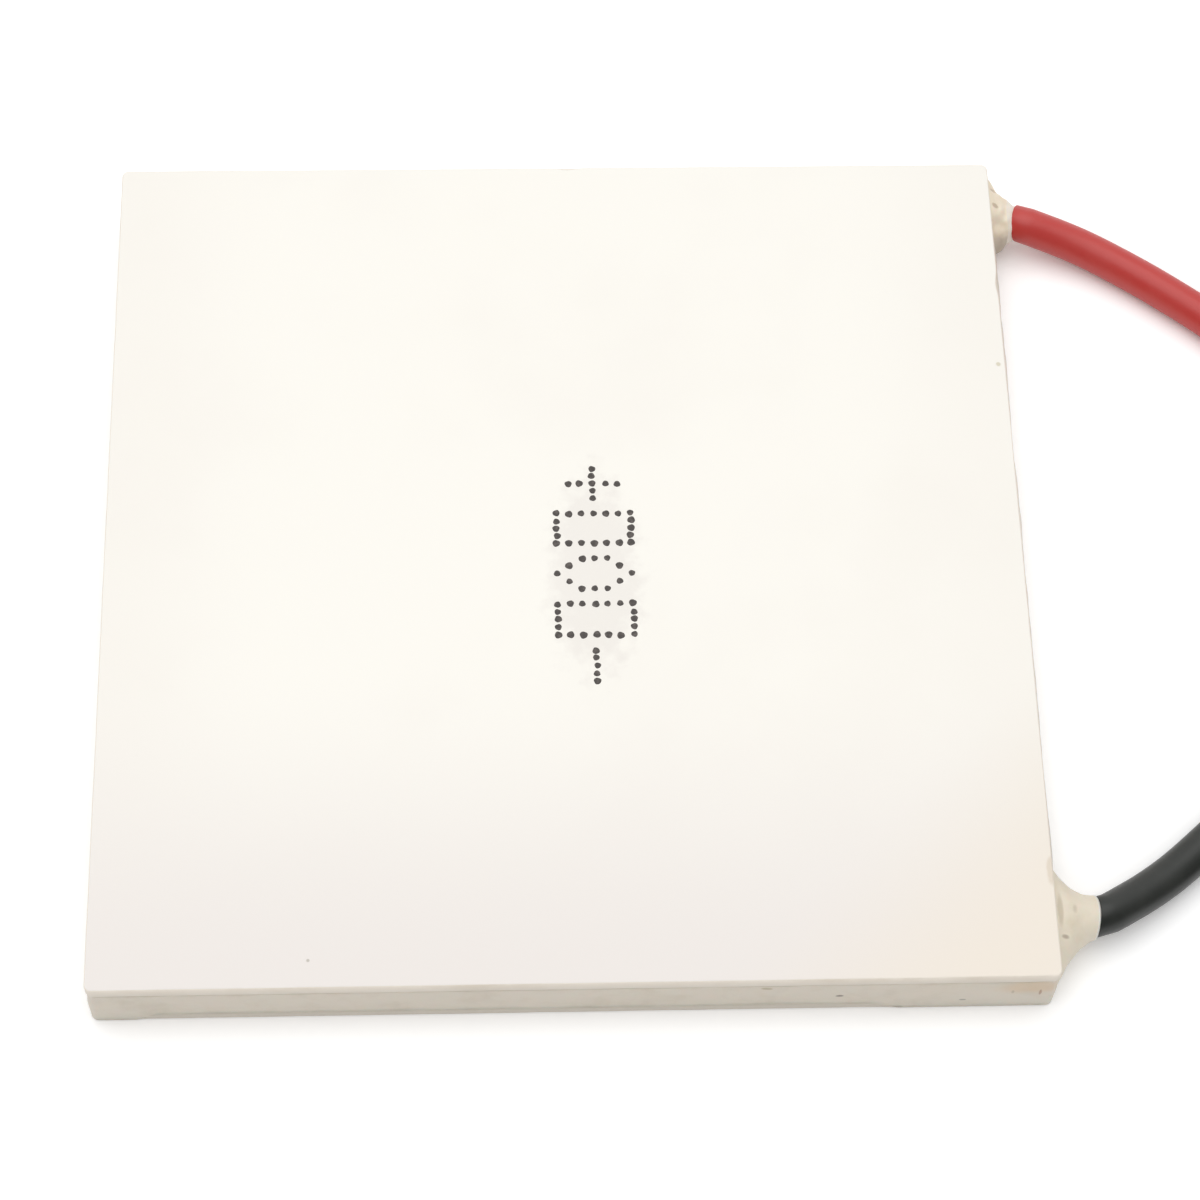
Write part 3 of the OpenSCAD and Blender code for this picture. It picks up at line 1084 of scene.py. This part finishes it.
@dataclass
class EdgeBead:
    """The sealant between the plates, pressed in nearly flush and smeared down at the near corners."""

    half: float
    hot_top: float
    cold_under: float
    inner: float = 18.575 * MM
    steps: int = 9
    recess: float = 0.06 * MM
    wave: float = 0.04 * MM
    squeezed: float = 0.28 * MM
    film: float = 0.035 * MM
    wiped: float = 0.62 * MM

    def build(self) -> Object:
        """Lofts the bead all the way round, one ring for each step of its section."""
        strips = [
            [spot + offset * out + height * UP for offset, height in self.section(spot)]
            for spot, out in Outline(self.half).walk()
        ]
        rings = list(zip(*strips))[::-1]
        bead = Shape().loft(rings, loop=True).build("edge_bead", [BEAD.build()])
        return settle(bead, "silicone_sealant", "edge_seal")

    def section(self, spot: Vector) -> list[tuple[float, float]]:
        """Returns the section at a point: offsets from the plates' side with their heights."""
        inside = self.inner - self.half
        front = [self.face(spot, k / self.steps) for k in range(self.steps + 1)]
        offset, height = front[-1]
        lap = [(offset - 1.5 * self.film, height), (offset - 2 * self.film, self.hot_top)]
        return [(inside, self.cold_under), *front, *lap, (inside, self.hot_top)]

    def smear(self, spot: Vector) -> float:
        """Returns how far the sealant is wiped down over the hot plate's side, from 0 to 1."""
        if spot.y > -self.half + 0.5 * MM:
            return 0.0
        left = smooth_step((-spot.x / self.half - 0.85) / 0.06)
        right = smooth_step((spot.x / self.half - 0.6) / 0.08)
        lapped = 0.2 + 0.04 * rough(spot.x, spot.y, 0, 1.7 * MM)
        return max(left, right, lapped)

    def face(self, spot: Vector, down: float) -> tuple[float, float]:
        """Returns the outer face's offset from the plates' side, and its height.

        Args:
            spot: a point on the plates' outline.
            down: how far down the face, from 0 at the cold plate to 1 at the lower edge.

        Returns:
            The offset and the height, in metres.
        """
        smear = self.smear(spot)
        low = self.hot_top - smear * self.wiped
        height = self.cold_under + (low - self.cold_under) * down
        bulged = math.sin(math.pi * down**0.7) if 0 < down < 1 else 0.0
        on_side = 0.0
        if spot.x > self.half - 0.1 * MM:
            on_side = smooth_step((self.half - 0.8 * MM - abs(spot.y)) / (1.2 * MM))
        swell = bulged * (0.03 * MM + self.squeezed * on_side * (1 + 0.3 * rough(spot.x, spot.y, 0, 4 * MM)))
        free = -self.recess + self.wave * rough(spot.x, spot.y, height, 1.1 * MM) + swell
        out_at = self.hot_top + 0.05 * MM + 1.1 * MM * smear**2
        out = smooth_step((out_at - height) / (0.3 * MM) + 0.5) if smear > 0 else 0.0
        return free + (self.film - free) * out, height


@dataclass
class PrintedMarks:
    """Jet-printed figures: a minus at the black lead's end, a plus at the red one's, frames between."""

    top: float
    corner: tuple[float, float] = (-0.38 * MM, -6.34 * MM)
    row_pitch: float = 0.545 * MM
    column_pitch: float = 0.37 * MM
    figure_pitch: float = 2.22 * MM
    dot: float = 0.32 * MM
    ink_t: float = 0.006 * MM
    figures: Sequence[Sequence[str]] = (
        (".....", ".....", ".....", "#####", ".....", ".....", "....."),
        ("#####", "#...#", "#...#", "#...#", "#...#", "#...#", "#####"),
        ("..#..", ".#.#.", "#...#", "#...#", "#...#", ".#.#.", "..#.."),
        ("#####", "#...#", "#...#", "#...#", "#...#", "#...#", "#####"),
        (".....", "..#..", "..#..", "#####", "..#..", "..#..", "....."),
    )

    def build(self) -> Object:
        """Lays each drop as a low disc of its own uneven outline."""
        dice = random.Random(7)
        shape = Shape()
        for number, figure in enumerate(self.figures):
            for row, line in enumerate(figure):
                for column, mark in enumerate(line):
                    if mark == "#":
                        spot = Vector((
                            self.corner[0] + self.row_pitch * row + dice.gauss(0, 0.02) * MM,
                            self.corner[1] + self.figure_pitch * number + self.column_pitch * column
                            + dice.gauss(0, 0.02) * MM,
                            self.top,
                        ))
                        self.drop(shape, spot, self.dot / 2 * dice.uniform(0.88, 1.08), dice)
        marks = shape.build("printed_marks", [INK.build()])
        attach(marks, ROOT)
        LOG.info("%s: %d faces", marks.name, len(marks.data.polygons))
        return marks

    def drop(self, shape: Shape, spot: Vector, radius: float, dice: random.Random) -> None:
        """Adds one dried drop of ink."""
        phase = dice.uniform(0, 2 * math.pi)
        rings = []
        for share, height in ((1.0, 0.0), (0.97, 0.7), (0.8, 1.0)):
            ring = []
            for s in range(18):
                a = 2 * math.pi * s / 18
                edge = radius * share * (1 + 0.06 * math.sin(3 * a + phase) + 0.03 * math.sin(5 * a - phase))
                ring.append(spot + Vector((edge * math.cos(a), edge * math.sin(a), height * self.ink_t)))
            rings.append(ring)
        shape.loft(rings)


@dataclass
class InnerPieces:
    """What the plates hide: pellets, copper bridges, solder and the leads' soldered ends."""

    solder: Metal = SOLDER
    copper: Metal = COPPER
    p_type: Metal = P_TELLURIDE
    n_type: Metal = N_TELLURIDE

    def dress(self) -> None:
        """Gives each carried-over CAD node its material."""
        made = {
            self.solder: ("solder",),
            self.p_type: ("p_pellets",),
            self.n_type: ("n_pellets",),
            self.copper: ("bridges", "terminal_pad", "core_end"),
        }
        for finish, kinds in made.items():
            material = finish.build()
            dressed = [piece for name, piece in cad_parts.items() if any(kind in name for kind in kinds)]
            for piece in dressed:
                piece.data.materials.clear()
                piece.data.materials.append(material)
            LOG.info("%s: on %d inner pieces", finish.name, len(dressed))


def main() -> None:
    """Builds the scene: camera and leads first, then the plates, their edge and their marks."""
    logging.basicConfig(level=logging.INFO, format="%(message)s")
    Studio().build()
    cold_low, cold_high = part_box("cold_plate")
    hot_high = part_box("hot_plate")[1]
    exit_z = (hot_high.z + cold_low.z) / 2
    Lead(
        "red", Lie.FAR, RED_PVC,
        ((1.35, 2.15, 1), (2.55, 2.43, 0.68), (4.4, 3.08, 0.24), (6.2, 4.1, 0.04),
         (8, 5.37, 0), (10.2, 7.15, 0), (13.1, 9.85, 0), (15.5, 12.3, 0)),
        heading=-12, start=233, lead_side=cold_high.x, exit_z=exit_z, cut_heading=-15, cut_lean=0.28,
        # Its lower side sags into a sheet where there is only shade, and the fillet's grey spot paints the
        # shadow on it.
        seal=LeadSeal(-4, (2.35 * MM, 1.4), (1.3 * MM, 2.6), 0.74 * MM, 0.2 * MM, FILLET, FILM,
                      reach_over=0.05 * MM, rim_bulge=-0.2 * MM, film_share=0.3, shadow_sag=0.45 * MM),
    ).build()
    Lead(
        "black", Lie.NEAR, BLACK_PVC,
        ((2, 3.2, 1), (3.4, 3.98, 0.6), (4.65, 4.81, 0.27), (5.95, 5.81, 0.08),
         (8.1, 7.7, 0), (10.6, 9.9, 0), (13.6, 12.2, 0), (17.2, 14.55, 0)),
        heading=10, start=245, lead_side=cold_high.x, exit_z=exit_z, inset=0.45 * MM, cut_heading=8,
        seal=LeadSeal(0, (3.0 * MM, 1.7), (2.6 * MM, 2.8), 0.93 * MM, 0.06 * MM, FUNNEL, THIN_RIM,
                      reach_over=-0.13 * MM, film_share=0.06),
    ).build()
    CeramicPlate("cold_plate", "cold_ceramic", seed=3).build()
    CeramicPlate("hot_plate", "hot_ceramic", seed=11).build()
    EdgeBead(cold_high.x, hot_high.z, cold_low.z).build()
    PrintedMarks(cold_high.z).build()
    InnerPieces().dress()


if __name__ == "__main__":
    main()
